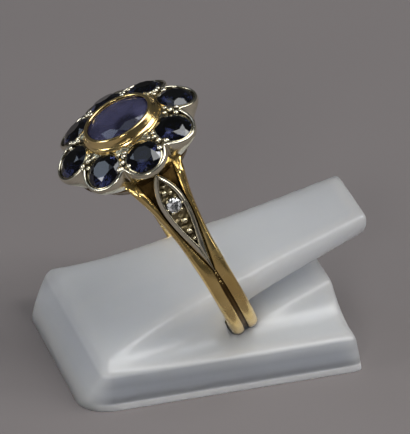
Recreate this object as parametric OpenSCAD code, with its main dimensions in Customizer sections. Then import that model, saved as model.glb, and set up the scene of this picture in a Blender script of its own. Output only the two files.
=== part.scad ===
// Cluster ring on a plain display stand.
// Millimetres, +Z up, the stand's foot on Z = 0, the origin under the middle
// of the whole. The ring has its own frame: its origin is the centre of the
// finger hole, x runs along the finger and z up to the head.

/* [Ring] */
// Inside diameter of the finger hole
hole_d = 17.1; // [16.6:0.1:17.4]
// Radial thickness of the shank
shank_t = 1.25; // [1.15:0.05:1.35]
// Radius of each of the two half-round mouldings of the shank
bead_r = 0.66; // [0.62:0.01:0.7]
// Distance of each moulding from the middle of the shank
bead_x = 0.62; // [0.58:0.01:0.64]
// Height of the plane of the outer stones over the hole's centre
head_h = 12.2; // [12:0.1:12.4]

/* [Outer stones] */
// Diameter of an outer sapphire
stone_d = 3; // [2.9:0.05:3]
// Radius of the circle of outer stones
stone_ring_r = 5.08; // [5.06:0.01:5.1]
// Outward tilt of the outer stones, degrees
stone_tilt = 23; // [21:1:25]
// Shift of the four diagonal stones towards the shoulders, degrees
stone_shift = 2.5; // [0:0.5:3]

/* [Setting] */
// Radius of the circle on which the scallops are centred
scallop_ring_r = 4.71; // [4.68:0.01:4.74]
// Radius of one scallop
scallop_r = 2.09; // [2.07:0.01:2.12]
// Thickness of the raised rim of the setting
rim_t = 0.19; // [0.17:0.01:0.2]
// Height of the raised rim over the plate
rim_h = 0.13; // [0.1:0.01:0.16]
// Radius of the foot of the white bowl
bowl_r = 5.65; // [5.6:0.05:5.7]
// Depth of the foot of the white bowl under the stone plane
bowl_z = 1.8; // [1.75:0.05:1.85]

/* [Centre] */
// Half length of the opening of the bezel, along the finger
lip_a = 2.83; // [2.8:0.01:2.86]
// Half width of the opening of the bezel, across the finger
lip_b = 2.55; // [2.52:0.01:2.58]
// Height of the bezel's rim over the stone plane
lip_z = 1.62; // [1.58:0.01:1.66]

/* [Shoulders] */
// Half width of the leaf panel
leaf_w = 1.15; // [1.1:0.01:1.18]
// Length of the leaf panel above its widest place
leaf_up = 3.1; // [3:0.05:3.2]
// Length of the leaf panel below its widest place
leaf_down = 7.15; // [7:0.05:7.2]
// Thickness of the leaf panel
leaf_t = 0.85; // [0.8:0.01:0.88]
// Diameter of the diamond in each shoulder
diamond_d = 1.3; // [1.2:0.05:1.35]

/* [Stand] */
// Length of the stand's foot at the bottom
foot_l = 25.5; // [25.3:0.1:25.7]
// Width of the stand's foot
foot_w = 18.6; // [18.4:0.1:18.8]
// Thickness of the stand's foot
foot_t = 3.5; // [3.4:0.05:3.6]
// Length from the middle of the foot to the tip of the tongue
tongue_x = 14.35; // [14.2:0.05:14.5]
// Lean of the ring from the vertical, degrees
lean = 26.34; // [26:0.02:26.6]
// Turn of the ring about its own upright, degrees
turn = 2.2; // [2:0.1:2.4]

/* [Hidden] */
$fn = 96;
gap = 0.03;                          // between pieces that meet
shift_x = -0.7;                      // puts the origin under the middle of the whole
hole_r = hole_d / 2;
out_r = hole_r + shank_t;            // crest of the shank
hole_x = -0.823;                     // centre of the finger hole from the foot's middle
hole_z = 10.667;
stone_r = stone_d / 2;
tip_r = scallop_ring_r + scallop_r;  // tip of a scallop
slope = tan(stone_tilt);
plate_z = 0.2;                       // plate's height at the stones' circle
function plate(r) = plate_z - slope * (r - stone_ring_r);
function stone_a(i) = 45 * i + stone_shift * sin(90 * i);
// radius of the cleft between scallop i and the next
function half_a(i) = (stone_a(i + 1) - stone_a(i)) / 2;
function cleft_r(i) = scallop_ring_r * cos(half_a(i)) + sqrt(pow(scallop_r, 2) - pow(scallop_ring_r * sin(half_a(i)), 2));
// the panel's outer face leaves the shank along a tangent through the scallop's foot
cusp_s = 6.8;                        // sideways and upward place of the panel's cusp
cusp_u = head_h - 0.8;
panel_phi = atan2(cusp_s, cusp_u) + acos(out_r / norm([cusp_s, cusp_u]));
panel_len = sqrt(pow(norm([cusp_s, cusp_u]), 2) - out_r * out_r);
leaf_y = panel_len - leaf_up;        // widest place of the leaf above the tangent point
// the rails leave it higher up and run to the clefts between the scallops
rail_s = 5.75;
rail_u = head_h - 0.9;
rail_out = out_r - 0.1;
rail_phi = atan2(rail_s, rail_u) + acos(rail_out / norm([rail_s, rail_u]));
rail_len = sqrt(pow(norm([rail_s, rail_u]), 2) - rail_out * rail_out);
rail_w = 0.74;
rail_t = 1.05;
rail_x = 0.97;                       // where a rail starts on the shank
rail_a = 1.83;                       // angle at which it starts
rail_bend = 28.8;                    // radius of its outward bend
function rail_c(l) = rail_x + l * tan(rail_a) + l * l / (2 * rail_bend);
// stand
top_k = 0.318;                       // slope of the tongue's top
function top_z(x) = 4.35 + top_k * (x + 10.51);
under_k = 0.404;                     // slope of the tongue's underside
function under_z(x) = 5.94 + under_k * (x - 3.36);
floor_k = 0.271;                     // slope of the ledge under the tongue
function ledge_z(x) = 4.46 + floor_k * (x - 3.85);
foot_x = -0.2;                       // middle of the foot
walls = [[5.58, 0.154], [5.19, 0.09]];  // body, tongue: half width at x = 0 and taper
cove_r = 3;                          // hollow curve from the body's side to the foot
slot_w = 2 * (bead_x + bead_r) + 0.12;
slot_r = out_r + 0.06;

// ---- places ----
module at_ring() translate([shift_x + hole_x, 0, hole_z]) rotate([0, -lean, 0]) rotate([0, 0, turn]) children();
module at_head() at_ring() translate([0, 0, head_h]) children();
module at_stone(i) rotate([0, 0, stone_a(i)]) translate([stone_ring_r, 0, plate_z]) rotate([0, stone_tilt, 0]) children();
// front shoulder: x across, y up the panel, z outwards, from the tangent point
module at_shoulder(phi, r) rotate([phi, 0, 0]) translate([0, 0, r]) children();

// ---- shared shapes ----
module scallops(r) {
  for (i = [0:7]) rotate(stone_a(i)) translate([scallop_ring_r, 0]) circle(r = r);
  circle(r = scallop_ring_r);
}
// outer body of the white setting, grown by g for the pieces that meet it
module setting_body(g) {
  intersection() {
    rotate_extrude() polygon([[0, plate(0) + rim_h + g], [tip_r + 0.3, plate(tip_r + 0.3) + rim_h + g],
        [tip_r + 0.3, -0.66], [tip_r + 0.15 + g, -0.8], [bowl_r + g, -bowl_z - g], [0, -bowl_z - g]]);
    translate([0, 0, -3]) linear_extrude(6) scallops(scallop_r + g);
  }
}
// leaf outline: two pairs of arcs that share the widest place, the lower pair
// cut straight down to the lower tip
module half_leaf(w, l) {
  r = (w * w + l * l) / (2 * w);
  intersection() {
    translate([w - r, 0]) circle(r = r, $fn = 180);
    translate([r - w, 0]) circle(r = r, $fn = 180);
    translate([-2 * w, 0]) square([4 * w, l + 1]);
  }
}
module leaf(w, up, down) {
  k = 1.163 * w / down;
  half_leaf(w, up);
  mirror([0, 1]) intersection() {
    half_leaf(w, down + 0.6);
    polygon([[-k * (down + 1), -1], [k * (down + 1), -1], [0, down]]);
  }
}

// ---- gold shank with its rails and the gallery under the head ----
module shank_band() {
  a = 180 - rail_phi;
  rotate([0, 90, 0]) rotate([0, 0, -a]) rotate_extrude(angle = 2 * a) {
    for (s = [-1, 1]) translate([out_r - bead_r, s * bead_x]) circle(r = bead_r);
    polygon([[hole_r, -1.08], [hole_r + 0.16, -1.2], [out_r - bead_r + 0.05, -1.2], [out_r - 0.42, -0.5],
             [out_r - 0.42, 0.5], [out_r - bead_r + 0.05, 1.2], [hole_r + 0.16, 1.2], [hole_r, 1.08]]);
  }
}
module rail() {
  swing = (rail_len + 0.3) / rail_bend * 180 / PI;
  difference() {
    at_shoulder(rail_phi, rail_out - rail_t)
      translate([rail_x, -0.3, 0]) rotate([0, 0, -rail_a]) translate([rail_bend, 0, 0])
        rotate([0, 0, 180 - swing]) rotate_extrude(angle = swing) {
          translate([rail_bend, rail_t - rail_w / 2]) circle(r = rail_w / 2);
          translate([rail_bend - rail_w / 2 + 0.02, 0.06]) square([rail_w - 0.04, rail_t - rail_w / 2 - 0.02]);
        }
    // the head end slopes in under the scallops
    translate([-5, 0, head_h]) rotate([90, 0, 90]) linear_extrude(10)
      polygon([[-6.15, -2.3], [-5.05, -0.95], [-5.05, 1], [-9, 1], [-9, -2.3]]);
  }
}
// plate that closes the shoulder between the rails, under the leaf panel
module web() {
  ls = [-0.2, 1, 2.5, 4, 5.5, 7.3];
  at_shoulder(rail_phi, rail_out - rail_t + 0.06) linear_extrude(0.3)
    polygon(concat([for (l = ls) [rail_c(l), l]], [for (k = [5:-1:0]) [-rail_c(ls[k]), ls[k]]]));
  // thicker where the rails still lie against the leaf
  at_shoulder(rail_phi, rail_out - rail_t + 0.2) linear_extrude(rail_t - 0.45)
    polygon([[0.9, -0.4], [0.95, 1.2], [1.05, 3.2], [0, 4], [-1.05, 3.2], [-0.95, 1.2], [-0.9, -0.4]]);
}
module gallery() {
  rotate_extrude() polygon([[4.6, -bowl_z - gap], [bowl_r - 0.02, -bowl_z - gap], [5.25, -2.2], [4.9, -2.6], [4.45, -3.05],
                            [4.2, -3.45], [3.85, -3.45], [3.95, -3], [4.3, -2.4]]);
}
module shank() {
  color("#b08d4a") at_ring() difference() {
    union() {
      shank_band();
      for (m = [0, 1]) mirror([0, m, 0]) {
        for (n = [0, 1]) mirror([n, 0, 0]) rail();
        web();
      }
      translate([0, 0, head_h]) gallery();
    }
    translate([0, 0, head_h]) setting_body(gap);
    for (m = [0, 1]) mirror([0, m, 0]) at_shoulder(panel_phi, out_r - leaf_t - gap)
      translate([0, leaf_y, 0]) linear_extrude(3) leaf(leaf_w + gap, leaf_up + 0.1, leaf_down + 0.2);
  }
}

// ---- white setting of the cluster ----
module cluster_setting() {
  color("#b9b7a8") at_head() difference() {
    union() {
      difference() {
        setting_body(0);
        intersection() {
          rotate_extrude() polygon([[0, plate(0)], [tip_r + 1, plate(tip_r + 1)], [tip_r + 1, 4], [0, 4]]);
          translate([0, 0, -3]) linear_extrude(8) scallops(scallop_r - rim_t);
        }
        rotate_extrude() polygon([[0, -0.75], [3.9, -0.75], [4.9, -bowl_z - 1], [0, -bowl_z - 1]]);
      }
      // grains between the stones
      for (i = [0:7]) rotate([0, 0, (stone_a(i) + stone_a(i + 1)) / 2]) {
        r = cleft_r(i) - 0.36;
        translate([r, 0, plate(r) + 0.02]) sphere(r = 0.24, $fn = 32);
        translate([4.2, 0, plate(4.2)]) sphere(r = 0.17, $fn = 32);
      }
    }
    // wells for the stones
    for (i = [0:7]) at_stone(i) rotate_extrude()
      polygon([[0, -3], [0.75, -3], [0.75, -0.9], [stone_r + gap, -0.07], [stone_r + gap, 1.2], [0, 1.2]]);
    // the collet stands through the middle
    scale([1.095, 1, 1]) translate([0, 0, -3]) cylinder(r = 3.15, h = 6);
    scale([1.09, 1, 1]) translate([0, 0, 0.42]) cylinder(r = 3.36, h = 3);
  }
}

// ---- gold collet of the centre stone ----
module center_collet() {
  color("#b8954c") at_head() difference() {
    union() {
      scale([1.1, 1, 1]) translate([0, 0, 0.7]) cylinder(r1 = 3.29, r2 = 2.86, h = lip_z - 0.7);
      scale([1.09, 1, 1]) translate([0, 0, 0.46]) cylinder(r = 3.32, h = 0.14);
      scale([1.1, 1, 1]) translate([0, 0, 0.55]) cylinder(r = 3.18, h = 0.2);
      scale([1.095, 1, 1]) translate([0, 0, -1.2]) cylinder(r = 3.11, h = 1.7);
    }
    // open light well, seat and lip
    scale([1.11, 1, 1]) translate([0, 0, -2]) cylinder(r = 2.45, h = 2.6);
    scale([1.11, 1, 1]) translate([0, 0, 0.1]) cylinder(r1 = 2.0, r2 = 2.7, h = 1.2);
    scale([1.11, 1, 1]) translate([0, 0, 1.3 - 0.01]) cylinder(r = 2.7, h = 0.12);
    scale([lip_a / lip_b, 1, 1]) translate([0, 0, 1.4]) cylinder(r1 = 2.7, r2 = lip_b - 0.05, h = 0.3);
  }
}

// ---- stones: table, crown, girdle and pavilion ----
module stone(r, table, crown, girdle, depth) {
  rotate_extrude() polygon([[0, -depth], [0.04, -depth], [r, -girdle / 2], [r, girdle / 2], [table, crown], [0, crown]]);
}
module center_sapphire() {
  color("#4b4f78") at_head() translate([0, 0, 1.34]) scale([1.11, 1, 1]) hull() {
    translate([0, 0, 0.5]) cylinder(r = 1.55, h = 0.05, $fn = 32);
    translate([0, 0, -0.03]) cylinder(r = 2.66, h = 0.06, $fn = 32);
    translate([0, 0, -1.78]) cylinder(r = 0.1, h = 0.05, $fn = 32);
  }
}
module sapphire(i) {
  color("#191d3c") at_head() at_stone(i) stone(stone_r, 0.82, 0.42, 0.08, 1.25);
}

// ---- white leaf panel of each shoulder ----
module shoulder_panel() {
  difference() {
    at_shoulder(panel_phi, out_r - leaf_t) translate([0, leaf_y, 0]) difference() {
      linear_extrude(leaf_t) leaf(leaf_w, leaf_up, leaf_down);
      translate([0, 0, leaf_t - 0.28]) linear_extrude(1) leaf(leaf_w - 0.48, leaf_up - 0.75, leaf_down - 2.6);
      translate([0, -0.1, 0]) {
        translate([0, 0, -0.1]) cylinder(r = 0.32, h = 1);
        translate([0, 0, leaf_t - 0.7]) cylinder(r1 = 0.25, r2 = diamond_d / 2 + 0.02, h = 0.45);
        translate([0, 0, leaf_t - 0.26]) cylinder(r = diamond_d / 2 + 0.02, h = 1);
      }
    }
    translate([0, 0, head_h]) setting_body(gap);
  }
}
module shoulder_diamond() {
  at_shoulder(panel_phi, out_r - 0.22) translate([0, leaf_y - 0.1, 0]) stone(diamond_d / 2, 0.38, 0.2, 0.04, 0.46);
}
module shoulder_panel_front() { color("#bdbbb0") at_ring() shoulder_panel(); }
module shoulder_panel_back() { color("#bdbbb0") at_ring() mirror([0, 1, 0]) shoulder_panel(); }
module diamond_front() { color("#d8dade") at_ring() shoulder_diamond(); }
module diamond_back() { color("#d8dade") at_ring() mirror([0, 1, 0]) shoulder_diamond(); }

// ---- plain moulded stand ----
module stand_side() {
  a = foot_x - foot_l / 2;
  b = foot_x + foot_l / 2;
  polygon([[a, 0], [b, 0], [b - 0.25 * foot_t, foot_t], [11.1, ledge_z(11.1)],
           [1, ledge_z(1)], [1, under_z(1)], [tongue_x - 0.25, under_z(tongue_x - 0.25)],
           [tongue_x, under_z(tongue_x) + 0.25], [tongue_x, top_z(tongue_x) - 0.25], [tongue_x - 0.35, top_z(tongue_x - 0.35)],
           [-10.51, top_z(-10.51)], [a + 0.3, 0.5]]);
}
module stand_plan() {
  r = 3;
  l = foot_l / 2;
  w = foot_w / 2;
  translate([foot_x, 0]) {
    translate([-l + r, -w]) square([2 * l - r + 3, 2 * w]);
    translate([-l, -w + r]) square([2 * l, 2 * w - 2 * r]);
    for (s = [-1, 1]) translate([-l + r, s * (w - r)]) circle(r = r);
  }
}
// what is taken away beside the body, down to the foot, with a hollow curve
module stand_cut(y, k) {
  translate([0, -y, foot_t]) rotate([0, 0, atan(k)]) rotate([90, 0, 90])
    translate([0, 0, -30]) linear_extrude(60) difference() {
      translate([-20, 0]) square([20, 20]);
      difference() {
        translate([-cove_r, -0.5]) square([cove_r + 0.5, cove_r + 0.5]);
        translate([-cove_r, cove_r]) circle(r = cove_r);
        translate([-2 * cove_r, cove_r]) square([cove_r * 3, 1]);
      }
    }
}
module display_stand() {
  color("#9b9ca2", 0.9) translate([shift_x, 0, 0]) difference() {
    intersection() {
      rotate([90, 0, 0]) translate([0, 0, -foot_w]) linear_extrude(2 * foot_w) stand_side();
      linear_extrude(30) stand_plan();
    }
    // the sides taper in the body and less in the tongue
    for (m = [0, 1]) mirror([0, m, 0]) intersection() {
      stand_cut(walls[0][0], walls[0][1]);
      stand_cut(walls[1][0], walls[1][1]);
    }
    // round-bottomed slot for the shank, open to the gap under the tongue
    intersection() {
      translate([hole_x, 0, hole_z]) rotate([0, -lean, 0]) rotate([0, 0, turn]) rotate([0, 90, 0])
        translate([0, 0, -slot_w / 2]) cylinder(r = slot_r, h = slot_w);
      rotate([90, 0, 0]) translate([0, 0, -foot_w]) linear_extrude(2 * foot_w)
        polygon([[-8, -2], [14, -2], [14, under_z(14)], [-8, under_z(-8)]]);
    }
  }
}

shank();
cluster_setting();
center_collet();
center_sapphire();
sapphire(0);  // sapphire_1
sapphire(1);  // sapphire_2
sapphire(2);  // sapphire_3
sapphire(3);  // sapphire_4
sapphire(4);  // sapphire_5
sapphire(5);  // sapphire_6
sapphire(6);  // sapphire_7
sapphire(7);  // sapphire_8
shoulder_panel_front();
shoulder_panel_back();
diamond_front();
diamond_back();
display_stand();
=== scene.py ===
import math

import bmesh
import bpy
import numpy as np
from mathutils import Matrix, Vector, geometry


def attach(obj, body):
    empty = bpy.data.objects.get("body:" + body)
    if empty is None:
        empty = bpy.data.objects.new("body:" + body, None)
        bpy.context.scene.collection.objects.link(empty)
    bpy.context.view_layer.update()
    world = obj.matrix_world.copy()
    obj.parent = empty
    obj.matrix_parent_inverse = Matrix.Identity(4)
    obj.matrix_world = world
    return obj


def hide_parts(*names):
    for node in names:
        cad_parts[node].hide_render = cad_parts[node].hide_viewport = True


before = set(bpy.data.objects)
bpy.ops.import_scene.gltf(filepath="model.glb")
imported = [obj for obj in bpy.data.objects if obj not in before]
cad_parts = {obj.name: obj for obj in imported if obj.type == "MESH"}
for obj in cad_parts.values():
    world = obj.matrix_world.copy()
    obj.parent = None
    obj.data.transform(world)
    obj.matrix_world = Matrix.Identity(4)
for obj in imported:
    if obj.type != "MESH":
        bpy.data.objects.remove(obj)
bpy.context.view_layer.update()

MM = 0.001
rad = math.radians

# ---------------------------------------------------------------- sizes, in mm, as in the construction
HOLE_R, OUT_R = 8.55, 9.8
BEAD_X, BEAD_R = 0.62, 0.64
HEAD_H = 12.2
STONE_R, RING_R, TILT, SHIFT = 1.5, 5.08, 23.0, 2.5
SC_RING, SC_R = 4.71, 2.09
PLATE_Z = 0.2
SLOPE = math.tan(rad(TILT))
BOWL_R, BOWL_Z = 5.65, 1.8
LIP_A, LIP_B, LIP_Z = 2.83, 2.55, 1.62
LEAF_W, LEAF_UP, LEAF_DOWN, LEAF_T = 1.15, 3.1, 7.15, 0.85
LEAN, TURN = 26.34, 2.2
SHIFT_X, HOLE_X, HOLE_Z = -0.7, -0.823, 10.667

RING = (Matrix.Translation((SHIFT_X + HOLE_X, 0, HOLE_Z)) @ Matrix.Rotation(rad(-LEAN), 4, "Y")
        @ Matrix.Rotation(rad(TURN), 4, "Z"))
HEAD = RING @ Matrix.Translation((0, 0, HEAD_H))


def stone_a(i):
    return 45.0 * i + SHIFT * math.sin(rad(90.0 * i))


ANG = [stone_a(i) for i in range(8)]


def tangent(s, u, r):
    """Angle from the top at which the line from (s, u) touches the circle r, and its length."""
    d = math.hypot(s, u)
    return math.atan2(s, u) + math.acos(r / d), math.sqrt(d * d - r * r)


PANEL_PHI, PANEL_LEN = tangent(6.8, HEAD_H - 0.8, OUT_R)
RAIL_PHI, RAIL_LEN = tangent(5.75, HEAD_H - 0.9, OUT_R - 0.1)
LEAF_Y = PANEL_LEN - LEAF_UP


def smooth(a, b, x):
    t = np.clip((x - a) / (b - a), 0.0, 1.0)
    return t * t * (3 - 2 * t)


def leaf_half(s):
    """Half width of the leaf at a distance from its upper tip: arcs, then straight sides down to the lower tip."""
    d = abs(s - LEAF_UP)
    if s < LEAF_UP:
        r = (LEAF_W ** 2 + LEAF_UP ** 2) / (2 * LEAF_W)
        w = LEAF_W - r + math.sqrt(max(r * r - d * d, 0))
    elif d < 2:
        w = LEAF_W - d * d / 21.4
    else:
        w = (LEAF_W - 4 / 21.4) * (1 - (d - 2) / (LEAF_DOWN - 2))
    return max(w, 0.01)


# ---------------------------------------------------------------- mesh helpers
def make(name, verts, faces, mat, matrix=Matrix.Identity(4), angle=35.0, slot=None, replaces=(), flat=False, second=None,
         where=()):
    me = bpy.data.meshes.new(name)
    v = np.asarray(verts, float)
    m = np.array(matrix)
    v = (v @ m[:3, :3].T + m[:3, 3]) * MM
    me.from_pydata(v.tolist(), [], [tuple(int(k) for k in f) for f in faces])
    me.materials.append(mat)
    if second:                       # a second material on listed faces: a darker copy in recesses and gaps (on the shank painted shade with dirt), or painted glints on diamond facets
        me.materials.append(second)
        mark = np.zeros(len(me.polygons), np.int32)
        mark[list(where)] = 1
        me.polygons.foreach_set("material_index", mark)
    me.validate()
    bm = bmesh.new()
    bm.from_mesh(me)
    bmesh.ops.recalc_face_normals(bm, faces=bm.faces)
    bm.to_mesh(me)
    bm.free()
    ob = bpy.data.objects.new(name, me)
    bpy.context.scene.collection.objects.link(ob)
    if not flat:
        me.shade_smooth()
        me.set_sharp_from_angle(angle=rad(angle))
    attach(ob, "root")
    if replaces:
        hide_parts(*replaces)
    return ob


def join(parts):
    """Joins (verts, faces) lists into one."""
    vs, fs, n = [], [], 0
    for v, f in parts:
        vs.append(np.asarray(v, float))
        fs += [tuple(k + n for k in q) for q in f]
        n += len(v)
    return np.concatenate(vs), fs


def loft(rings, closed=True, caps=True, loop=False):
    """Skins rings of equal length. closed: each ring is a loop. loop: the last ring meets the first."""
    rings = [np.asarray(r, float) for r in rings]
    n, k = len(rings), len(rings[0])
    v = np.concatenate(rings)
    f = []
    for i in range(n if loop else n - 1):
        j = (i + 1) % n
        for a in range(k if closed else k - 1):
            b = (a + 1) % k
            f.append((i * k + a, i * k + b, j * k + b, j * k + a))
    if caps and not loop and closed:
        f.append(tuple(range(k))[::-1])
        f.append(tuple((n - 1) * k + a for a in range(k)))
    return v, f


def moved(part, matrix):
    v, f = part
    m = np.array(matrix)
    return np.asarray(v, float) @ m[:3, :3].T + m[:3, 3], f


def blob(r, squash=0.8, seg=14, rings=8, lump=0.0, seed=0):
    """A small worked grain: a rounded bead, slightly out of round."""
    v = [(0, 0, r * squash)]
    for i in range(1, rings):
        t = math.pi * i / rings
        for j in range(seg):
            p = 2 * math.pi * j / seg
            q = r * (1 + lump * math.sin(2 * p + seed) * math.sin(t) + 0.5 * lump * math.cos(3 * p + 2.1 * seed) * math.sin(t))
            v.append((q * math.sin(t) * math.cos(p), q * math.sin(t) * math.sin(p), r * squash * math.cos(t)))
    v.append((0, 0, -r * squash))
    f = [(0, 1 + j, 1 + (j + 1) % seg) for j in range(seg)]
    for i in range(rings - 2):
        for j in range(seg):
            a, b = 1 + i * seg + j, 1 + i * seg + (j + 1) % seg
            f.append((a, a + seg, b + seg, b))
    last = len(v) - 1
    f += [(last, last - seg + (j + 1) % seg, last - seg + j) for j in range(seg)]
    return np.array(v), f


# ---------------------------------------------------------------- materials
def material(name):
    m = bpy.data.materials.new(name)
    m.use_nodes = True
    nt = m.node_tree
    nt.nodes.clear()
    out = nt.nodes.new("ShaderNodeOutputMaterial")
    return m, nt, out


def node(nt, kind, **sets):
    n = nt.nodes.new("ShaderNode" + kind)
    for k, v in sets.items():
        setattr(n, k, v)
    return n


def noise(nt, coord, scale, detail=3.0, rough=0.5, stretch=None, dist=0.0):
    n = node(nt, "TexNoise")
    n.inputs["Scale"].default_value = scale
    n.inputs["Detail"].default_value = detail
    n.inputs["Roughness"].default_value = rough
    n.inputs["Distortion"].default_value = dist
    src = coord
    if stretch:
        mp = node(nt, "Mapping")
        mp.inputs["Scale"].default_value = stretch
        nt.links.new(coord, mp.inputs["Vector"])
        src = mp.outputs["Vector"]
    nt.links.new(src, n.inputs["Vector"])
    return n.outputs["Fac"]


def ramp(nt, fac, stops):
    r = node(nt, "ValToRGB")
    e = r.color_ramp.elements
    while len(e) < len(stops):
        e.new(0.5)
    for el, (p, c) in zip(e, stops):
        el.position = p
        el.color = (*c, 1) if len(c) == 3 else c
    nt.links.new(fac, r.inputs["Fac"])
    return r.outputs["Color"]


def span(nt, fac, lo, hi, a=0.0, b=1.0):
    r = node(nt, "MapRange")
    r.inputs["From Min"].default_value = a
    r.inputs["From Max"].default_value = b
    r.inputs["To Min"].default_value = lo
    r.inputs["To Max"].default_value = hi
    nt.links.new(fac, r.inputs["Value"])
    return r.outputs["Result"]


def mix(nt, fac, a, b, blend="MIX"):
    n = node(nt, "Mix", data_type="RGBA", blend_type=blend)
    for key, val in ((0, fac), (6, a), (7, b)):
        if isinstance(val, (int, float)):
            n.inputs[key].default_value = val
        elif isinstance(val, tuple):
            n.inputs[key].default_value = (*val, 1)
        else:
            nt.links.new(val, n.inputs[key])
    return n.outputs[2]


def metal(name, bright, dull, dirt_and_shade, rough, scratch=0.25, dirt_and_shade_amount=0.75, cut=0.0, reach=0.0006, lo=0.35, hi=0.85, dents=0.35):
    """Worn polished gold: colour drifts a little, crevices darken (dirt, and painted shade from ambient occlusion),
    fine rubbing marks soften the shine.
    """
    m, nt, out = material(name)
    co = node(nt, "TexCoord").outputs["Object"]
    p = node(nt, "BsdfPrincipled")
    p.inputs["Metallic"].default_value = 1.0
    drift = noise(nt, co, 420, 3)
    base = ramp(nt, drift, [(0.3, dull), (0.7, bright)])
    # painted shade with dirt: the base colour darkens where ambient occlusion finds crevices and gaps
    ao = node(nt, "AmbientOcclusion", samples=6)
    ao.inputs["Distance"].default_value = reach
    spots = noise(nt, co, 2600, 2)
    crevice_dirt_and_shade = span(nt, ao.outputs["AO"], dirt_and_shade_amount, 0.0, lo, hi)
    dirt_and_shade_mask = node(nt, "Math", operation="MULTIPLY")
    nt.links.new(crevice_dirt_and_shade, dirt_and_shade_mask.inputs[0])
    nt.links.new(span(nt, spots, 0.75, 1.15, 0.3, 0.7), dirt_and_shade_mask.inputs[1])
    nt.links.new(mix(nt, dirt_and_shade_mask.outputs[0], base, dirt_and_shade), p.inputs["Base Color"])
    fine = noise(nt, co, 5200, 4, 0.6, stretch=(1, 0.25, 1))
    broad = noise(nt, co, 900, 3)
    rr = node(nt, "Math", operation="MULTIPLY_ADD")
    nt.links.new(fine, rr.inputs[0])
    rr.inputs[1].default_value = 0.11
    nt.links.new(span(nt, broad, rough - 0.1, rough + 0.04, 0.3, 0.7), rr.inputs[2])
    nt.links.new(rr.outputs[0], p.inputs["Roughness"])
    b1 = node(nt, "Bump")
    b1.inputs["Strength"].default_value = scratch
    b1.inputs["Distance"].default_value = 0.00002
    nt.links.new(fine, b1.inputs["Height"])
    b2 = node(nt, "Bump")
    b2.inputs["Strength"].default_value = dents
    b2.inputs["Distance"].default_value = 0.00006
    nt.links.new(broad, b2.inputs["Height"])
    nt.links.new(b1.outputs["Normal"], b2.inputs["Normal"])
    last = b2
    if cut:
        vor = node(nt, "TexVoronoi")
        vor.inputs["Scale"].default_value = 4200
        nt.links.new(co, vor.inputs["Vector"])
        b3 = node(nt, "Bump")
        b3.inputs["Strength"].default_value = cut
        b3.inputs["Distance"].default_value = 0.00008
        nt.links.new(vor.outputs["Distance"], b3.inputs["Height"])
        nt.links.new(b2.outputs["Normal"], b3.inputs["Normal"])
        last = b3
    nt.links.new(last.outputs["Normal"], p.inputs["Normal"])
    nt.links.new(p.outputs[0], out.inputs["Surface"])
    return m


def gem(name, deep, pale, ior, rough=0.02, milk=0.0, dark_reflection_at=None):
    """A cut stone: clear colour inside, colour zones across it, a polished surface with faint wear, and optionally a
    painted dark reflection.
    """
    m, nt, out = material(name)
    co = node(nt, "TexCoord").outputs["Object"]
    p = node(nt, "BsdfPrincipled")
    zone = noise(nt, co, 520, 2, 0.5, dist=0.4)
    col = ramp(nt, zone, [(0.35, deep), (0.68, pale)])
    if dark_reflection_at is not None:          # painted reflection: a dark patch inside the stone, standing in for a facet that reflects dark surroundings
        off = node(nt, "VectorMath", operation="SUBTRACT")
        nt.links.new(co, off.inputs[0])
        off.inputs[1].default_value = dark_reflection_at
        dist = node(nt, "VectorMath", operation="LENGTH")
        nt.links.new(off.outputs[0], dist.inputs[0])
        near = span(nt, dist.outputs["Value"], 0.85, 0.0, 0.0008, 0.0013)
        col = mix(nt, near, col, (0.012, 0.012, 0.03))
    nt.links.new(col, p.inputs["Base Color"])
    p.inputs["IOR"].default_value = ior
    p.inputs["Transmission Weight"].default_value = 1.0 - milk
    wear = noise(nt, co, 7000, 3)
    nt.links.new(span(nt, wear, max(rough - 0.015, 0.0), rough + 0.05, 0.35, 0.75), p.inputs["Roughness"])
    b = node(nt, "Bump")
    b.inputs["Strength"].default_value = 0.05
    b.inputs["Distance"].default_value = 0.00001
    nt.links.new(wear, b.inputs["Height"])
    nt.links.new(b.outputs["Normal"], p.inputs["Normal"])
    nt.links.new(p.outputs[0], out.inputs["Surface"])
    return m


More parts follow.
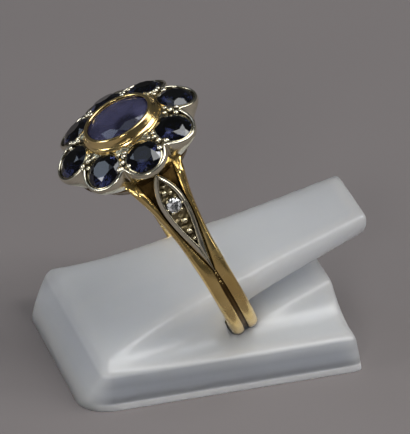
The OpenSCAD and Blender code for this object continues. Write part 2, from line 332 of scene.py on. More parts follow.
def frosted(name):
    """Moulded frosted plastic: milky, lets light through, with faint flow marks and handling wear; thin edges carry a
    painted highlight, the foot's side painted shade bands and a painted glow low down.
    """
    m, nt, out = material(name)
    co = node(nt, "TexCoord").outputs["Object"]
    p = node(nt, "BsdfPrincipled")
    flow = noise(nt, co, 160, 3, 0.5, stretch=(0.4, 1, 1), dist=0.6)
    base = ramp(nt, flow, [(0.25, (0.79, 0.825, 0.885)), (0.75, (0.85, 0.88, 0.925))])
    # painted highlight: thin edges are lightened in the base colour, as if they gathered light
    ao = node(nt, "AmbientOcclusion", samples=8, inside=True)
    ao.inputs["Distance"].default_value = 0.0016
    base = mix(nt, span(nt, ao.outputs["AO"], 0.9, 0.0, 0.62, 0.98), base, (1.0, 1.0, 1.0))
    # the foot's side: painted shade as darker streaks along the moulding, and a painted highlight along the lower edge
    xyz = node(nt, "SeparateXYZ")
    nt.links.new(co, xyz.inputs[0])
    wob = noise(nt, co, 60, 2)
    hgt = node(nt, "Math", operation="MULTIPLY_ADD")
    nt.links.new(wob, hgt.inputs[0])
    hgt.inputs[1].default_value = 0.0003
    nt.links.new(xyz.outputs["Z"], hgt.inputs[2])
    painted_shade_and_highlight_bands = ramp(nt, span(nt, hgt.outputs[0], 0.0, 1.0, 0.0, 0.0041),
                [(0.0, (0.97, 0.97, 0.98)), (0.03, (1.0, 1.0, 1.0)), (0.17, (1.0, 1.0, 1.0)), (0.225, (0.34, 0.35, 0.37)),
                 (0.30, (0.38, 0.39, 0.41)), (0.40, (0.60, 0.61, 0.63)), (0.50, (0.58, 0.59, 0.61)), (0.60, (0.46, 0.47, 0.49)),
                 (0.80, (0.48, 0.49, 0.51)), (0.87, (1.0, 1.0, 1.0))])
    side = span(nt, xyz.outputs["X"], 0.0, 0.85, -0.0128, -0.0108)
    nt.links.new(mix(nt, side, base, painted_shade_and_highlight_bands, "MULTIPLY"), p.inputs["Base Color"])
    # painted glow: emission at the lower edge of the sides stands in for light carried along inside the plastic and
    # leaving it there
    painted_glow_height = ramp(nt, span(nt, xyz.outputs["Z"], 0.0, 1.0, 0.0, 0.0041),
                 [(0.005, (0, 0, 0)), (0.012, (1, 1, 1)), (0.14, (0.9, 0.9, 0.9)), (0.21, (0, 0, 0))])
    painted_glow = node(nt, "Math", operation="MULTIPLY")
    nt.links.new(painted_glow_height, painted_glow.inputs[0])
    nt.links.new(span(nt, xyz.outputs["X"], 0.0, 0.19, -0.0128, -0.0100), painted_glow.inputs[1])
    nt.links.new(painted_glow.outputs[0], p.inputs["Emission Strength"])
    p.inputs["Emission Color"].default_value = (0.98, 0.98, 1.0, 1)
    p.inputs["Subsurface Weight"].default_value = 1.0
    p.inputs["Subsurface Radius"].default_value = (1.0, 1.0, 1.05)
    p.inputs["Subsurface Scale"].default_value = 0.008
    p.inputs["Transmission Weight"].default_value = 0.45
    p.inputs["Coat Weight"].default_value = 0.6
    p.inputs["Coat Roughness"].default_value = 0.22
    p.inputs["Coat IOR"].default_value = 1.49
    p.inputs["IOR"].default_value = 1.45
    wear = noise(nt, co, 2500, 4, 0.6)
    nt.links.new(span(nt, wear, 0.44, 0.52, 0.3, 0.7), p.inputs["Roughness"])
    b = node(nt, "Bump")
    b.inputs["Strength"].default_value = 0.04
    b.inputs["Distance"].default_value = 0.00002
    nt.links.new(wear, b.inputs["Height"])
    nt.links.new(b.outputs["Normal"], p.inputs["Normal"])
    nt.links.new(p.outputs[0], out.inputs["Surface"])
    return m


YELLOW = metal("yellow_gold", (0.90, 0.67, 0.28), (0.68, 0.46, 0.16), (0.055, 0.026, 0.006), 0.20,
               dirt_and_shade_amount=0.95, reach=0.0008, lo=0.30, hi=0.75, dents=0.2)
# painted shade with dirt: a dark copy of the yellow gold for the gap beside the leaf, the groove and the gallery
YELLOW_SHADE_AND_DIRT = metal("yellow_gold_shade_and_dirt", (0.26, 0.16, 0.055), (0.09, 0.05, 0.016), (0.03, 0.016, 0.005), 0.40,
                    dirt_and_shade_amount=0.98, reach=0.0016, lo=0.35, hi=0.95)
PALE = metal("yellow_gold_pale", (0.98, 0.76, 0.36), (0.84, 0.60, 0.24), (0.10, 0.055, 0.016), 0.17,
             dirt_and_shade_amount=0.85, reach=0.0007, lo=0.30, hi=0.80, dents=0.25)
WHITE_DULL = metal("white_gold_dull", (0.40, 0.34, 0.21), (0.18, 0.14, 0.07), (0.02, 0.012, 0.005), 0.40,
                   dirt_and_shade_amount=0.95, reach=0.0005, lo=0.3, hi=0.9)
WHITE = metal("white_gold", (0.88, 0.83, 0.68), (0.66, 0.61, 0.46), (0.06, 0.045, 0.022), 0.16, dirt_and_shade_amount=0.85, lo=0.35,
              hi=0.80)
CUT = metal("white_gold_cut", (0.76, 0.69, 0.49), (0.50, 0.43, 0.27), (0.04, 0.028, 0.012), 0.18,
            dirt_and_shade_amount=0.92, cut=0.12, reach=0.0004, lo=0.25, hi=0.70)
DARK_GEM = gem("dark_sapphire", (0.0022, 0.0028, 0.008), (0.007, 0.0085, 0.026), 1.66)
# where the painted dark reflection sits in the centre stone
PAINTED_DARK_REFLECTION_AT = HEAD @ Vector((0.35, -1.75, 1.7)) * MM
LIGHT_GEM = gem("light_sapphire", (0.07, 0.07, 0.15), (0.125, 0.125, 0.25), 1.77, rough=0.09, milk=0.35, dark_reflection_at=PAINTED_DARK_REFLECTION_AT)
CLEAR_GEM = gem("diamond", (0.93, 0.94, 0.96), (0.99, 0.99, 1.0), 2.417, rough=0.0)
# painted glints: a milky white copy of the diamond for some facets
DIAMOND_PAINTED_GLINT = gem("diamond_painted_glint", (0.90, 0.91, 0.94), (0.99, 0.99, 1.0), 2.417, rough=0.0, milk=0.9)
FROST = frosted("frosted_acrylic")


# ---------------------------------------------------------------- cut stones
def brilliant(r, table, crown, girdle, depth, star=0.5, low=0.22, turn=0.0, arc=4):
    """Eightfold brilliant: table, stars, kites, girdle facets, pavilion mains. Girdle plane at z = 0."""
    a = [math.pi / 4 * k + turn for k in range(8)]
    h = math.pi / 8
    c22 = math.cos(h)
    rt = table
    rm = rt * c22 + star * (r - rt * c22)
    zt, zg = crown, girdle / 2
    zm = zt - (rm * c22 - rt) * (zt - zg) / (r - rt)
    V, F = [], []

    def add(x, y, z):
        V.append((x, y, z))
        return len(V) - 1

    T = [add(rt * math.cos(t), rt * math.sin(t), zt) for t in a]
    M = [add(rm * math.cos(t + h), rm * math.sin(t + h), zm) for t in a]

    def plane_z(p, q, s):
        n = np.cross(np.subtract(q, p), np.subtract(s, p))
        return lambda x, y: p[2] - (n[0] * (x - p[0]) + n[1] * (y - p[1])) / n[2]

    top, bot = [], []
    rl = r * low / c22
    zl = -depth + (rl * c22) * (depth - girdle / 2) / r
    C = add(0, 0, -depth)
    L = [add(rl * math.cos(t + h), rl * math.sin(t + h), zl) for t in a]
    for k in range(8):
        for half in (0, 1):
            t0 = a[k] + half * h
            p0 = (r * math.cos(t0), r * math.sin(t0))
            p1 = (r * math.cos(t0 + h), r * math.sin(t0 + h))
            up = plane_z(V[M[k]], (*p0, zg), (*p1, zg))
            dn = plane_z(V[L[k]], (*p0, -zg), (*p1, -zg))
            for s in range(arc):
                t = t0 + h * s / arc
                x, y = r * math.cos(t), r * math.sin(t)
                zu = zg if s == 0 else up(x, y)
                zd = -zg if s == 0 else dn(x, y)
                top.append(add(x, y, zu))
                bot.append(add(x, y, min(zd, zu - 0.01)))
    n = 16 * arc
    F.append(tuple(T))
    for k in range(8):
        j = (k + 1) % 8
        g0, gm, g1 = 2 * arc * k, 2 * arc * k + arc, 2 * arc * (k + 1)
        F.append((T[k], M[k], T[j]))
        F.append((T[k], M[k - 1], top[g0], M[k]))
        F.append((M[k], *[top[s % n] for s in range(g0, gm + 1)]))
        F.append((M[k], *[top[s % n] for s in range(gm, g1 + 1)]))
        F.append((C, L[k - 1], bot[g0], L[k]))
        F.append((L[k], *[bot[s % n] for s in range(g0, gm + 1)]))
        F.append((L[k], *[bot[s % n] for s in range(gm, g1 + 1)]))
    for s in range(n):
        F.append((top[s], bot[s], bot[(s + 1) % n], top[(s + 1) % n]))
    return np.array(V), F


def stone_frame(i):
    return (HEAD @ Matrix.Rotation(rad(ANG[i]), 4, "Z") @ Matrix.Translation((RING_R, 0, PLATE_Z))
            @ Matrix.Rotation(rad(TILT), 4, "Y"))


# each outer stone is turned a little differently in its well, and cut a little differently
CUTS = [(0.0, 0.86), (7.0, 0.82), (15.0, 0.84), (4.0, 0.80), (11.0, 0.85), (31.0, 0.80), (2.0, 0.83), (22.0, 0.80)]
for i, (spin, table) in enumerate(CUTS):
    v, f = brilliant(STONE_R, table, 0.40, 0.08, 1.22, turn=rad(spin))
    make(f"sapphire_{i + 1}_cut", v, f, DARK_GEM, stone_frame(i), flat=True, slot="dark_sapphire",
         replaces=(f"sapphire_{i + 1}",))

v, f = brilliant(2.64, 1.62, 0.5, 0.06, 1.72, star=0.45, low=0.3, turn=rad(9))
v = v * (1.11, 1, 1)
make("center_sapphire_cut", v, f, LIGHT_GEM, HEAD @ Matrix.Translation((0, 0, 1.34)), flat=True,
     slot="light_sapphire", replaces=("center_sapphire",))


# ---------------------------------------------------------------- shank: two half-round mouldings that part into rails
def rail_c(length):
    """Middle of a rail, measured across the ring, at a distance up the shoulder."""
    return 0.97 + math.tan(rad(1.83)) * length + length * length / 57.6


def half_stations():
    """Sections from the front head end down to the bottom: base, outward normal, moulding, crest, floor, inside."""
    out = []
    for k in range(46):              # straight part, from the head down
        L = 7.95 * (1 - k / 46)
        drop = float(smooth(6.7, 7.95, L))
        crest = OUT_R - 0.1 - 0.95 * drop
        hw = 0.37 + 0.08 * float(smooth(4.6, 7.0, L)) - 0.02 * float(smooth(2.5, 1.0, L))
        x = rail_c(L)
        lip = leaf_half(7.91 - L) + 0.03         # the rail lies against the leaf up to here
        xi = lip if L < 3 else max(lip, x - hw)
        out.append((Vector((math.cos(RAIL_PHI), math.sin(RAIL_PHI))) * L, Vector((-math.sin(RAIL_PHI), math.cos(RAIL_PHI))),
                    x, hw, crest, min(8.98 + 0.42 * float(smooth(5.2, 2.2, L)), crest - 0.05), HOLE_R + 0.12, x - xi))
    n_arc = 84
    lo = math.degrees(RAIL_PHI)
    for k in range(n_arc + 1):       # round part, down to the bottom
        deg = lo + (180 - lo) * k / n_arc
        phi = rad(deg)
        e = float(smooth(lo, 86, deg))
        crest = OUT_R - 0.1 + 0.1 * float(smooth(lo, 88, deg))
        depth = 0.30 - 0.08 * float(smooth(69, 77, deg)) + 0.14 * float(smooth(87, 92, deg)) - 0.06 * float(smooth(112, 150, deg))
        x, hw = 0.97 + (0.66 - 0.97) * e, 0.35 + (0.585 - 0.35) * e
        lip = max(leaf_half(min(7.91 + (deg - lo) * 0.17, 10.2)) + 0.03, 0.075 + 0.07 * float(smooth(80, 90, deg)))
        out.append((Vector((0, 0)), Vector((-math.sin(phi), math.cos(phi))), x, hw,
                    crest, crest - depth, HOLE_R + 0.12 * (1 - float(smooth(lo, 88, deg))),
                    x - lip))
    return out


def shank_section(st):
    """Two half-round mouldings side by side, with the floor of the groove between them."""
    base, nrm, x, hw, crest, floor, ri, hi = st
    n = 11
    side = []
    deep = min(0.60, crest - ri - 0.12)
    for k in range(n + 1):           # from the outer side over the crest
        al = math.pi / 2 * k / n
        side.append((x + hw * math.cos(al), crest - deep * (1 - math.sin(al))))
    shelf = max(floor + 0.03, crest - 0.36)
    for k in range(1, n + 1):        # and down to the groove
        al = math.pi / 2 * (1 + k / n)
        side.append((x + hi * math.cos(al), shelf + (crest - shelf) * math.sin(al)))
    side.append((x - hi, floor + 0.02))
    side.append((max(x - hi - 0.05, 0.02), floor))
    low = [(x + hw - 0.17, ri), (x + hw - 0.05, ri + 0.05), (x + hw, ri + 0.18)]
    right_side = low + side
    full = right_side + [(0.0, floor - 0.01)] + [(-a, c) for a, c in right_side[::-1]]
    return [(px, base.x + nrm.x * r, base.y + nrm.y * r) for px, r in full]


half = half_stations()
front = [shank_section(q) for q in half]
back = [[(x, -y, z) for x, y, z in sec] for sec in front[:-1]][::-1]
parts = [loft(front + back)]
per = len(front[0])
last = len(front) + len(back) - 1


def dark(i):                         # faces for painted shade with dirt: the gap beside the leaf's upper half, and the groove below the leaf
    i = min(i, last - i)
    return i < 22 or math.degrees(RAIL_PHI) + (180 - math.degrees(RAIL_PHI)) * (i - 46) / 84 > 79


shade_and_dirt_faces = [i * per + a for i in range(last) for a in range(per) if 21 <= a <= 34 and dark(i)]
# gallery: a rounded ring under the white bowl
prof = [(4.85, -BOWL_Z - 0.03), (5.5, -BOWL_Z - 0.03), (5.58, -1.86), (5.6, -1.92), (5.56, -2.0), (5.27, -2.24), (4.95, -2.6),
        (4.62, -2.92), (4.4, -3.16), (4.3, -3.34), (4.22, -3.42), (4.12, -3.46), (3.98, -3.46), (3.89, -3.42),
        (3.86, -3.34), (3.96, -3.0), (4.12, -2.7), (4.3, -2.4), (4.6, -1.95)]
parts.append(loft([[(r * math.cos(t), r * math.sin(t), HEAD_H + z) for r, z in prof] for t in
                   (2 * math.pi * k / 160 for k in range(160))], loop=True))
# chased marks where the groove begins, below the tip of each leaf
for m in (1, -1):
    for k, (deg, dx, r, lx) in enumerate([(79.6, 0.06, 0.10, 1.25), (81.0, -0.05, 0.125, 1.45), (82.5, 0.07, 0.10, 1.2),
                                          (84.6, 0.02, 0.085, 1.1), (86.4, -0.03, 0.13, 1.3), (88.0, 0.06, 0.085, 1.2)]):
        phi = rad(deg)
        g = moved(blob(r, 0.75, 14, 9, 0.12, k), Matrix.Translation((dx, -m * math.sin(phi) * 9.56, math.cos(phi) * 9.56)) @
                  Matrix.Rotation(phi * m, 4, "X") @ Matrix.Diagonal((lx, 0.8, 1, 1)))
        parts.append(g)
n0, n1 = len(parts[0][1]), len(parts[1][1])
# the gallery under the bowl gets the dark copy too, as painted shade
shade_and_dirt_faces += list(range(n0, n0 + n1))
v, f = join(parts)
make("gold_shank", v, f, YELLOW, RING, angle=50, slot="yellow_gold", replaces=("shank",), second=YELLOW_SHADE_AND_DIRT, where=shade_and_dirt_faces)


# ---------------------------------------------------------------- white setting
def outline(theta, grow=0.0):
    """Scalloped outline in polar form, its clefts slightly rounded."""
    k = 16.0
    tot = np.zeros_like(theta)
    for a in ANG:
        d = theta - rad(a)
        q = (SC_R + grow) ** 2 - (SC_RING * np.sin(d)) ** 2
        ok = (q > 0) & (np.cos(d) > 0)
        r = np.where(ok, SC_RING * np.cos(d) + np.sqrt(np.maximum(q, 0)), -9)
        tot += np.exp(k * (r - 6))
    return 6 + np.log(tot) / k


def pyramid(x, y):
    z = np.full(np.shape(x), 9.0)
    for a in ANG:
        z = np.minimum(z, PLATE_Z - SLOPE * (x * math.cos(rad(a)) + y * math.sin(rad(a)) - RING_R))
    return z


NT = 720
th = np.linspace(0, 2 * math.pi, NT, endpoint=False)
ro = outline(th)
P = np.stack([ro * np.cos(th), ro * np.sin(th)], 1)
tan_v = np.roll(P, -1, 0) - np.roll(P, 1, 0)
nrm2 = np.stack([tan_v[:, 1], -tan_v[:, 0]], 1)
nrm2 /= np.linalg.norm(nrm2, axis=1)[:, None]


def soft_closed(a, n):
    for _ in range(n):
        a = (np.roll(a, 1, 0) + 2 * a + np.roll(a, -1, 0)) / 4
    return a


nrm2 = soft_closed(nrm2, 8)
nrm2 /= np.linalg.norm(nrm2, axis=1)[:, None]
zp = soft_closed(pyramid(P[:, 0], P[:, 1]), 6)
foot = BOWL_R + 0.30 * (ro - ro.mean()) - 0.03
foot_xy = np.stack([foot * np.cos(th), foot * np.sin(th)], 1)


def rim_ring(inward, z):
    q = P - nrm2 * inward
    return np.concatenate([q, (zp + z)[:, None]], 1)


def wall_ring(t):
    """From just under the rim (t = 0) to the bowl's foot (t = 1): a rounded, inward-curving wall."""
    e = 1 - math.cos(t * math.pi / 2) ** 1.15
    xy = P * (1 - e) + foot_xy * e
    z = (zp - 0.12) * (1 - t) + (-BOWL_Z) * t
    return np.concatenate([xy, z[:, None]], 1)


def foot_ring(r, z):
    return np.stack([r * np.cos(th), r * np.sin(th), np.full(NT, z)], 1)


rings = [rim_ring(0.26, -0.45), rim_ring(0.25, -0.02), rim_ring(0.24, 0.05), rim_ring(0.215, 0.105), rim_ring(0.175, 0.145),
         rim_ring(0.125, 0.16), rim_ring(0.075, 0.145), rim_ring(0.03, 0.11), rim_ring(0.0, 0.05), rim_ring(0.0, -0.02)]
rings += [wall_ring(t) for t in (0.04, 0.12, 0.22, 0.34, 0.46, 0.58, 0.70, 0.82, 0.92, 1.0)]
inner = np.concatenate([foot_xy * 0.965, np.full((NT, 1), -BOWL_Z)], 1)
rings += [inner, foot_ring(5.05, -BOWL_Z + 0.05), foot_ring(4.9, -1.5)]
inner2 = P - nrm2 * 0.5
rings += [np.concatenate([inner2, (zp - 0.75)[:, None]], 1)]
wall_part = loft(rings, loop=True, caps=False)


def in_poly(pts, poly):
    x, y = pts[:, 0], pts[:, 1]
    inside = np.zeros(len(pts), bool)
    px, py = poly[:, 0], poly[:, 1]
    qx, qy = np.roll(px, -1), np.roll(py, -1)
    for a, b, c, d in zip(px, py, qx, qy):
        hit = ((b > y) != (d > y)) & (x < (c - a) * (y - b) / (d - b + 1e-12) + a)
        inside ^= hit
    return inside


def dist_to(pts, poly):
    from_ = poly
    best = np.full(len(pts), 99.0)
    for k in range(0, len(from_), 1):
        best = np.minimum(best, np.hypot(pts[:, 0] - from_[k, 0], pts[:, 1] - from_[k, 1]))
    return best


WELL = STONE_R + 0.035
edge_in = P[::4] - nrm2[::4] * 0.21
well_loops = []
inv_head = HEAD.inverted()
for i in range(8):
    m = inv_head @ stone_frame(i)
    well_loops.append(np.array([m @ Vector((WELL * math.cos(t), WELL * math.sin(t), 0.0)) for t in
                                (2 * math.pi * k / 72 for k in range(72))]))
hole = np.array([(3.46 * math.cos(t), 3.17 * math.sin(t)) for t in (2 * math.pi * k / 120 for k in range(120))])
coords, edges = [], []


def add_loop(loop):
    n = len(coords)
    coords.extend([Vector((float(p[0]), float(p[1]))) for p in loop])
    edges.extend([(n + k, n + (k + 1) % len(loop)) for k in range(len(loop))])


add_loop(edge_in)
add_loop(hole)
for w in well_loops:
    add_loop(w)
gx = []
step = 0.13
row = 0
y = -7.0
while y < 7.0:
    x = -7.0 + (step / 2 if row % 2 else 0)
    while x < 7.0:
        gx.append((x, y))
        x += step
    y += step * 0.866
    row += 1
gp = np.array(gx)
keep = in_poly(gp, edge_in) & ~in_poly(gp, hole)
gp = gp[keep]
d_edge = np.minimum(dist_to(gp, edge_in), dist_to(gp, hole))
gp = gp[d_edge > 0.07]
for w in well_loops:
    gp = gp[~in_poly(gp, w[:, :2])]
for w in well_loops:
    gp = gp[dist_to(gp, w[:, :2]) > 0.06]
coords.extend([Vector((float(a), float(b))) for a, b in gp])
cv, ce, cf, *_ = geometry.delaunay_2d_cdt(coords, edges, [], 0, 1e-7)
xy = np.array([(p.x, p.y) for p in cv])
tri = np.array([f for f in cf])
cen = xy[tri].mean(1)
ok = in_poly(cen, edge_in) & ~in_poly(cen, hole)
for w in well_loops:
    ok &= ~in_poly(cen, w[:, :2])
tri = tri[ok]
dw = np.full(len(xy), 99.0)
for w in well_loops:
    dw = np.minimum(dw, dist_to(xy, w[:, :2]))
wave = 0.05 * np.sin(9.1 * xy[:, 0] + 3 * np.sin(5.3 * xy[:, 1])) * np.sin(8.3 * xy[:, 1] + 1.7)
zz = pyramid(xy[:, 0], xy[:, 1]) - 0.03 - (0.26 + wave) * smooth(0.05, 0.26, dw)
plate = np.concatenate([xy, zz[:, None]], 1)
under = np.concatenate([xy, (pyramid(xy[:, 0], xy[:, 1]) - 0.42)[:, None]], 1)
n = len(plate)
count = {}
for t in tri:
    for a, b in ((t[0], t[1]), (t[1], t[2]), (t[2], t[0])):
        count[(min(a, b), max(a, b))] = count.get((min(a, b), max(a, b)), 0) + 1
faces = [tuple(t) for t in tri] + [tuple(int(k) + n for k in t[::-1]) for t in tri]
faces += [(a, b, b + n, a + n) for (a, b), c in count.items() if c == 1]
plate_part = (np.concatenate([plate, under]), faces)

# tapered cup of each well
cups = []
for i in range(8):
    m = inv_head @ stone_frame(i)
    prof = [(WELL, 0.0), (WELL, -0.10), (WELL - 0.10, -0.2), (1.02, -0.62), (0.72, -0.98), (0.82, -1.0), (1.15, -0.64),
            (WELL + 0.02, -0.24), (WELL + 0.07, -0.1), (WELL + 0.05, -0.02)]
    cups.append(moved(loft([[(r * math.cos(t), r * math.sin(t), z) for r, z in prof] for t in
                            (2 * math.pi * k / 56 for k in range(56))], loop=True, caps=False), m))

make("setting_wall", *wall_part, WHITE, HEAD, angle=60, slot="white_gold", replaces=("cluster_setting",))
v, f = join([plate_part] + cups)
make("setting_plate", v, f, CUT, HEAD, angle=40, slot="white_gold", replaces=("cluster_setting",))

# grains raised in the clefts between stones
rng = np.random.default_rng(7)
grains = []
for i in range(8):
    a0, a1 = stone_a(i), stone_a(i + 1)
    mid = (a0 + a1) / 2
    h = rad((a1 - a0) / 2)
    cleft = SC_RING * math.cos(h) + math.sqrt(SC_R ** 2 - (SC_RING * math.sin(h)) ** 2)
    spots = [(cleft - 0.24, 4.6, 0.25, 0.04), (cleft - 0.26, -4.4, 0.25, 0.04), (cleft - 0.70, 0.4, 0.24, 0.03),
             (4.36, 1.2, 0.22, 0.0), (4.02, 4.4, 0.17, 0.0), (4.02, -4.2, 0.17, 0.0)]
    for k, (r, da, size, up) in enumerate(spots):
        r += float(rng.uniform(-0.05, 0.05))
        da += float(rng.uniform(-0.7, 0.7))
        size *= float(rng.uniform(0.9, 1.12))
        t = rad(mid + da)
        x, yy = r * math.cos(t), r * math.sin(t)
        z = float(pyramid(np.array(x), np.array(yy))) - 0.06 + up
        g = moved(blob(size, 0.85, 16, 9, 0.10, i * 1.3 + k),
                  Matrix.Translation((x, yy, z)) @ Matrix.Rotation(t, 4, "Z") @ Matrix.Rotation(rad(TILT), 4, "Y"))
        grains.append(g)
v, f = join(grains)
make("setting_grains", v, f, WHITE, HEAD, angle=70, slot="white_gold", replaces=("cluster_setting",))


# ---------------------------------------------------------------- gold collet of the centre stone
def collet_loops():
    prof = [  # a, z from the seat up over the lip and down the wall; b is 0.29 to 0.30 less
        (2.98, 1.12), (2.99, 1.34), (2.95, 1.44), (2.86, 1.52), (2.835, 1.565), (2.85, 1.605), (2.90, 1.64), (2.97, 1.655),
        (3.05, 1.65), (3.11, 1.625), (3.15, 1.575), (3.175, 1.50), (3.205, 1.40), (3.24, 1.30), (3.285, 1.20), (3.335, 1.11),
        (3.37, 1.06), (3.40, 1.02), (3.43, 0.985), (3.46, 0.95), (3.49, 0.91), (3.525, 0.86), (3.56, 0.80), (3.585, 0.75),
        (3.60, 0.71), (3.615, 0.67), (3.635, 0.63), (3.645, 0.585), (3.645, 0.54), (3.64, 0.50), (3.61, 0.465), (3.52, 0.44),
        (3.42, 0.42), (3.40, -0.6), (3.36, -1.15), (3.0, -1.18), (2.78, -1.1), (2.74, 0.2), (2.80, 0.7)]
    loops = []
    for k in range(200):
        t = 2 * math.pi * k / 200
        deg = math.degrees(t) % 360
        # two turned lines round the wall, worn away towards the left
        w = 0.25 + 0.75 * float(smooth(246, 262, deg) * (1 - smooth(318, 345, deg)))
        loop = []
        for a, z in prof:
            cutin = 0.0
            if 0.44 < z < 1.5 and a > 3.15:
                cutin = w * (0.075 * math.exp(-((z - 1.04) / 0.035) ** 2) + 0.085 * math.exp(-((z - 0.72) / 0.03) ** 2))
            wear = 0.008 * math.sin(5 * t + 1) * (z > 1.5) + 0.006 * math.sin(3 * t + 4 * z)
            b = a - 0.29 - 0.015 * (a - 2.83)
            loop.append(((a - cutin) * math.cos(t), (b - cutin) * math.sin(t), z + wear * (z > 0.4)))
        loops.append(loop)
    return loops


v, f = loft(collet_loops(), loop=True, caps=False)
make("gold_collet", v, f, PALE, HEAD, angle=60, slot="yellow_gold", replaces=("center_collet",))


# ---------------------------------------------------------------- white leaf panels with a diamond
def recess_half(s):
    return max(leaf_half(s) - 0.43 - 0.09 * float(smooth(5.5, 7.2, s)), 0.0)


def panel_mesh():
    total = LEAF_UP + LEAF_DOWN
    ns, nc = 230, 60
    cuts = [(1.15, 0.10, 0.13), (1.6, -0.25, 0.12), (4.22, 0.0, 0.16), (4.45, -0.3, 0.12), (5.32, 0.1, 0.16), (5.2, -0.22, 0.1),
            (6.32, 0.0, 0.14), (6.95, 0.0, 0.10), (2.35, -0.05, 0.12)]
    rows = []
    for i in range(ns + 1):
        s = 0.03 + (total - 0.06) * i / ns
        w = leaf_half(s)
        wr = recess_half(s)
        top = []
        sag = -max(s - PANEL_LEN, 0.0) ** 2 / (2 * OUT_R) - 0.10 * float(smooth(total - 1.2, total, s))
        for j in range(nc + 1):
            c = -1 + 2 * j / nc
            c = math.copysign(abs(c) ** 0.9, c)
            x = c * w
            d = w - abs(x)
            bw = max(w - wr, 0.01)
            # the border rises from its outer edge to a rounded ridge beside the recess
            full = float(smooth(0.02, 0.10, wr))
            q = d / bw
            if q < 0.70:
                zb = -0.26 * (1 - q / 0.70) ** 1.7
            else:
                zb = -0.06 * ((q - 0.70) / 0.30) ** 2
            inn = float(smooth(bw - 0.04, bw + 0.08, d))
            floor = -0.30 + 0.03 * math.sin(9 * s + 5 * x)
            for cs, cx, cr in cuts:
                floor -= 0.16 * math.exp(-(((s - cs) / cr) ** 2 + ((x - cx) / (cr * 1.6)) ** 2))
            z = zb * (1 - inn * full) + floor * inn * full
            ds = math.hypot(x, s - 3.2)
            if ds < 0.74:
                z = min(z, max(-0.12 - max(0.66 - ds, 0.0) * 1.05, -0.68))
                if ds > 0.62:
                    z = max(z, -0.15 - 1.2 * abs(ds - 0.68))
            top.append((x, -s, z + sag))
        wb = w * 0.97
        rows.append(top + [(wb, -s, -LEAF_T + 0.12 + sag), (wb * 0.85, -s, -LEAF_T + sag), (0, -s, -LEAF_T + sag),
                           (-wb * 0.85, -s, -LEAF_T + sag), (-wb, -s, -LEAF_T + 0.12 + sag)])
    return loft(rows)


def panel_frame(back):
    m = Matrix.Rotation(PANEL_PHI, 4, "X") @ Matrix.Translation((0, PANEL_LEN, OUT_R))
    if back:
        m = Matrix.Diagonal((1, -1, 1, 1)) @ m
    return RING @ m


def panel_grains():
    """Worked grains: a row down the recess, and claws round the diamond."""
    out = []
    spots = [(-0.20, 1.88, 0.23, -0.16), (0.28, 2.08, 0.19, -0.17), (0.02, 1.38, 0.13, -0.24),
             (0.08, 4.80, 0.28, -0.15), (-0.02, 5.80, 0.26, -0.15), (0.03, 6.62, 0.16, -0.18)]
    for a in (35, 100, 150, 215, 262, 325):
        spots.append((0.69 * math.sin(rad(a)), 3.2 - 0.69 * math.cos(rad(a)), 0.115 if a not in (150, 215) else 0.145, -0.07))
    for k, (x, s, r, z) in enumerate(spots):
        out.append(moved(blob(r, 0.85, 16, 9, 0.12, k * 0.9), Matrix.Translation((x, -s, z))))
    return join(out)


pm, pg = panel_mesh(), panel_grains()
mid_face = np.array([pm[0][list(q)].mean(0) for q in pm[1][:-2]])
recess = [k for k, c in enumerate(mid_face) if -0.72 < c[2] < -0.2 and -7.3 < c[1] < -0.5 and
          abs(c[0]) < recess_half(-c[1]) + 0.01]
for name, back in (("front", False), ("back", True)):
    make(f"leaf_{name}", *pm, WHITE, panel_frame(back), angle=45, slot="white_gold", replaces=(f"shoulder_panel_{name}",),
         second=WHITE_DULL, where=recess)
    make(f"leaf_grains_{name}", *pg, CUT, panel_frame(back), angle=70, slot="white_gold", replaces=(f"shoulder_panel_{name}",))
    v, f = brilliant(0.64, 0.33, 0.21, 0.03, 0.44, turn=0.2, arc=3)
    # painted glints: a pattern of facets gets the milky white copy, read as sparkle
    painted_glint_facets = [k for k in range(len(f)) if (k * 7) % 5 < 2 and k > 0]
    make(f"diamond_{name}_cut", v, f, CLEAR_GEM, panel_frame(back) @ Matrix.Translation((0, -3.2, -0.10)), flat=True,
         slot="diamond", replaces=(f"diamond_{name}",), second=DIAMOND_PAINTED_GLINT, where=painted_glint_facets)


# ---------------------------------------------------------------- stand: the moulding with its edges softened
def relax(co, edges, weight, rounds):
    """Moves every vertex towards the middle of its neighbours, by its weight."""
    n = len(co)
    a, b = edges[:, 0], edges[:, 1]
    deg = np.maximum(np.bincount(a, minlength=n) + np.bincount(b, minlength=n), 1)
    for _ in range(rounds):
        mid = np.stack([np.bincount(a, co[b, k], n) + np.bincount(b, co[a, k], n) for k in range(3)], 1) / deg[:, None]
        co = co + weight[:, None] * (mid - co)
    return co


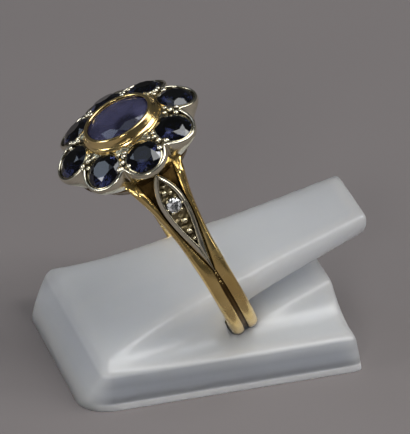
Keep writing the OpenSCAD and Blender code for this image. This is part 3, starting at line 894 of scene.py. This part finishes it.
def soft_stand():
    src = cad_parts["display_stand"]
    me = src.data.copy()
    me.name = "stand_moulding"
    co = np.zeros(len(me.vertices) * 3, np.float32)
    me.vertices.foreach_get("co", co)
    co = co.reshape(-1, 3)
    co[co[:, 2] < 0.00002, 2] = -0.0012        # softened below the floor, then cut flat, so the lower edge stays crisp
    me.vertices.foreach_set("co", co.ravel())
    ob = bpy.data.objects.new("stand_moulding", me)
    bpy.context.scene.collection.objects.link(ob)
    re = ob.modifiers.new("remesh", "REMESH")
    re.mode = "VOXEL"
    re.voxel_size = 0.00017
    bpy.context.view_layer.update()
    dg = bpy.context.evaluated_depsgraph_get()
    new = bpy.data.meshes.new_from_object(ob.evaluated_get(dg))
    ob.modifiers.clear()
    ob.data = new
    co = np.zeros(len(new.vertices) * 3, np.float32)
    new.vertices.foreach_get("co", co)
    co = co.reshape(-1, 3).astype(float)
    edges = np.zeros(len(new.edges) * 2, np.int32)
    new.edges.foreach_get("vertices", edges)
    edges = edges.reshape(-1, 2)
    # the slot keeps its shape: nothing is softened close to the shank
    back = np.array(RING.inverted())
    q = (co / MM) @ back[:3, :3].T + back[:3, 3]
    r = np.hypot(q[:, 1], q[:, 2])
    away = np.maximum(np.maximum(np.abs(q[:, 0]) - 1.3, 8.5 - r), r - 9.9)
    co = relax(co, edges, 0.5 * smooth(0.05, 0.6, away), 36)
    # and fits closely round the two mouldings
    q = (co / MM) @ back[:3, :3].T + back[:3, 3]
    r = np.hypot(q[:, 1], q[:, 2])
    dx, dr = np.abs(q[:, 0]) - BEAD_X, r - (OUT_R - BEAD_R)
    d = np.hypot(dx, dr)
    fit = np.where((dr > 0) & (r < OUT_R + 0.18) & (dx < 0.82) & (d > BEAD_R + 0.05), (BEAD_R + 0.05) / np.maximum(d, 0.01), 1.0)
    grow = ((OUT_R - BEAD_R) + dr * fit) / r
    q = np.stack([np.sign(q[:, 0]) * (BEAD_X + dx * fit), q[:, 1] * grow, q[:, 2] * grow], 1)
    fore = np.array(RING)
    near = (fit < 1.0)[:, None]
    co = np.where(near, (q @ fore[:3, :3].T + fore[:3, 3]) * MM, co)
    co = relax(co, edges, np.full(len(co), 0.4), 2)
    new.vertices.foreach_set("co", co.astype(np.float32).ravel())
    bm = bmesh.new()
    bm.from_mesh(new)
    bmesh.ops.bisect_plane(bm, geom=bm.verts[:] + bm.edges[:] + bm.faces[:], dist=1e-7, plane_co=(0, 0, 0),
                           plane_no=(0, 0, 1), clear_inner=True)
    rim = [e for e in bm.edges if e.is_boundary]
    cap = bmesh.ops.holes_fill(bm, edges=rim, sides=0)["faces"]
    bmesh.ops.recalc_face_normals(bm, faces=bm.faces[:])
    for f in bm.faces:
        f.smooth = True
    for f in cap:
        f.smooth = False
    for e in rim:
        if e.is_valid:
            e.smooth = False
    bm.to_mesh(new)
    bm.free()
    new.materials.clear()
    new.materials.append(FROST)
    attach(ob, "root")
    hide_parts("display_stand")
    return ob


soft_stand()

# ---------------------------------------------------------------- floor, camera, light
m, nt, out = material("floor_paper")
co = node(nt, "TexCoord").outputs["Object"]
p = node(nt, "BsdfPrincipled")
tone = noise(nt, co, 9, 4)
nt.links.new(ramp(nt, tone, [(0.3, (0.166, 0.150, 0.149)), (0.7, (0.188, 0.170, 0.168))]), p.inputs["Base Color"])
p.inputs["Roughness"].default_value = 0.75
fibre = noise(nt, co, 3000, 3)
b = node(nt, "Bump")
b.inputs["Strength"].default_value = 0.1
b.inputs["Distance"].default_value = 0.00003
nt.links.new(fibre, b.inputs["Height"])
nt.links.new(b.outputs["Normal"], p.inputs["Normal"])
nt.links.new(p.outputs[0], out.inputs["Surface"])
me = bpy.data.meshes.new("floor")
s = 1.5
me.from_pydata([(-s, -s, -0.00001), (s, -s, -0.00001), (s, s, -0.00001), (-s, s, -0.00001)], [], [(0, 1, 2, 3)])
floor = bpy.data.objects.new("floor", me)
bpy.context.scene.collection.objects.link(floor)
me.materials.append(m)

# camera: 17.6 degrees round to the left of the stand's side, 30 degrees up, 0.4 m away
PSI, EPS, ROLL, DIST = rad(17.57), rad(30.15), rad(0.27), 400.0
C = Vector((-math.sin(PSI) * math.cos(EPS), -math.cos(PSI) * math.cos(EPS), math.sin(EPS)))
right = (-C).cross(Vector((0, 0, 1))).normalized()
up = right.cross(-C)
r2 = right * math.cos(ROLL) + up * math.sin(ROLL)
u2 = -right * math.sin(ROLL) + up * math.cos(ROLL)
target = Vector((0.845 + SHIFT_X, 0, 12.031))
loc = (target + C * DIST) * MM
cam_data = bpy.data.cameras.new("camera")
cam_data.sensor_fit = "HORIZONTAL"
cam_data.sensor_width = 36
cam_data.lens = 410.0
cam_data.clip_start = 0.01
cam_data.clip_end = 20
cam = bpy.data.objects.new("camera", cam_data)
rot = Matrix((r2, u2, C)).transposed().to_4x4()
cam.matrix_world = Matrix.Translation(loc) @ rot
bpy.context.scene.collection.objects.link(cam)
bpy.context.scene.camera = cam


def softbox(name, az, el, dist, size, power, color=(1, 1, 1), size_y=None):
    """Area light aimed at the ring. az: degrees round from the front (-Y), positive to the right; el: height."""
    d = Vector((math.sin(rad(az)) * math.cos(rad(el)), -math.cos(rad(az)) * math.cos(rad(el)), math.sin(rad(el))))
    l = bpy.data.lights.new(name, "AREA")
    l.shape = "RECTANGLE"
    l.size = size
    l.size_y = size_y or size
    l.energy = power
    l.color = color
    o = bpy.data.objects.new(name, l)
    o.location = Vector((0, 0, 0.012)) + d * dist
    o.rotation_euler = d.to_track_quat("Z", "Y").to_euler()
    bpy.context.scene.collection.objects.link(o)
    return o


softbox("key", 58, 50, 0.55, 0.22, 1.0, (1.0, 0.985, 0.96))
softbox("window", -121, 38, 0.60, 0.15, 0.13, (0.70, 0.82, 1.0))
softbox("left", -88, 22, 0.60, 0.20, 0.85, (0.97, 0.98, 1.0))
softbox("dim", -115, 63, 0.55, 0.20, 0.06, (0.74, 0.84, 1.0))
softbox("front", -30, 28, 0.60, 0.12, 0.65, (1.0, 0.99, 0.97))
softbox("side", 76, 30, 0.55, 0.14, 0.32, (1.0, 0.97, 0.92), size_y=0.3)
softbox("top", 50, 77, 0.60, 0.42, 2.2, (0.97, 0.985, 1.0))
w = bpy.data.worlds.new("studio")
w.use_nodes = True
bg = w.node_tree.nodes["Background"]
bg.inputs["Color"].default_value = (0.92, 0.95, 1.0, 1)
bg.inputs["Strength"].default_value = 0.06
bpy.context.scene.world = w
vs = bpy.context.scene.view_settings
vs.view_transform = "Standard"
vs.look = "None"
vs.exposure = 0.0
